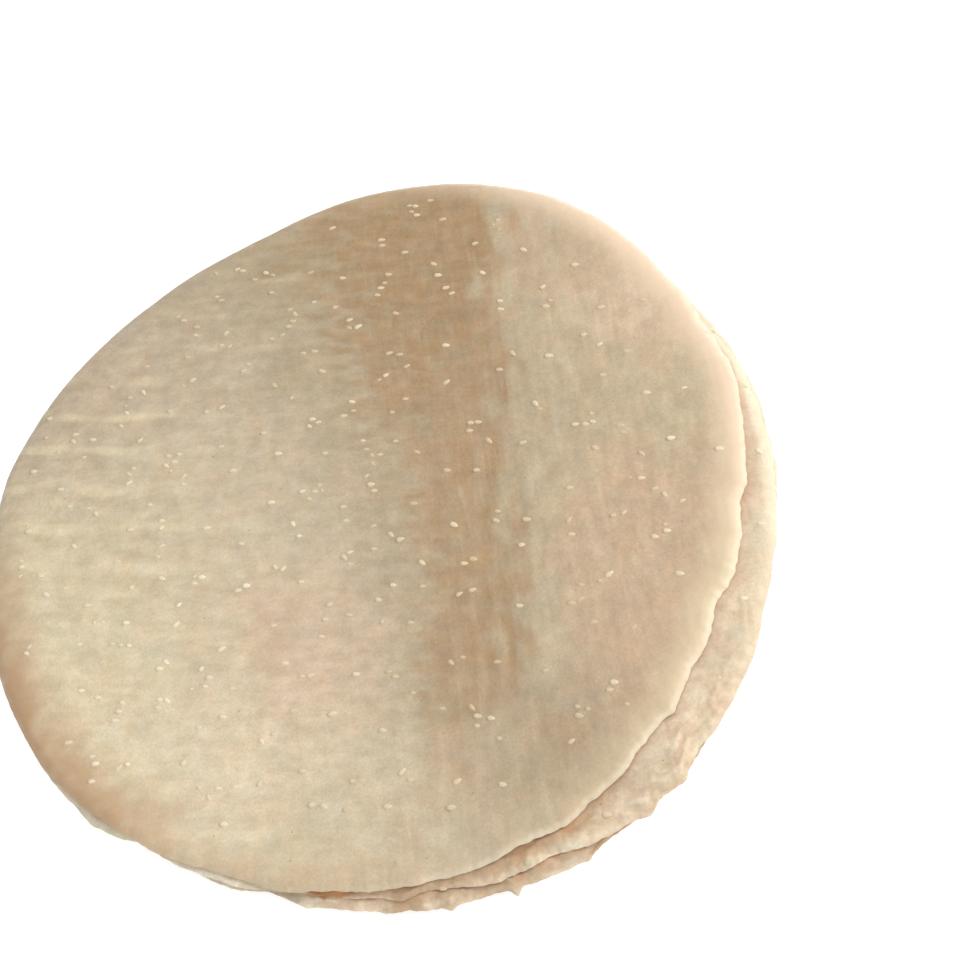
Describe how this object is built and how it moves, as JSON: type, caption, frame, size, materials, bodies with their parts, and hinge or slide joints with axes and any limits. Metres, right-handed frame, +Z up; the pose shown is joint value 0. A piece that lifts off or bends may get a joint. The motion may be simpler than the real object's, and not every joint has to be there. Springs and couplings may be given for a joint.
{
  "type": "stack of coconut rice paper",
  "caption": "Flat stack of large round coconut rice paper sheets, cream beige with pressed-in sesame seeds, soft wavy rims and a shifted top sheet.",
  "frame": {"origin": "middle of the stack's bounding box in plan, at the underside of the bottom sheet, which lies on the table", "axes": "+Z up through the sheets, -Y to the side where the second sheet shows as a crescent (the picture's near side), +X to the picture's right"},
  "size_m": [0.349, 0.349, 0.0111],
  "materials": {
    "rice_sheet": "matte",
    "rice_sheet_pale": "matte",
    "rice_sheet_deep": "matte",
    "sesame_seed": "satin"
  },
  "bodies": {
    "root": {"top_sheet": "rice_sheet", "second_sheet": "rice_sheet_pale", "third_sheet": "rice_sheet_pale", "bottom_sheet": "rice_sheet_deep"}
  },
  "joints": []
}
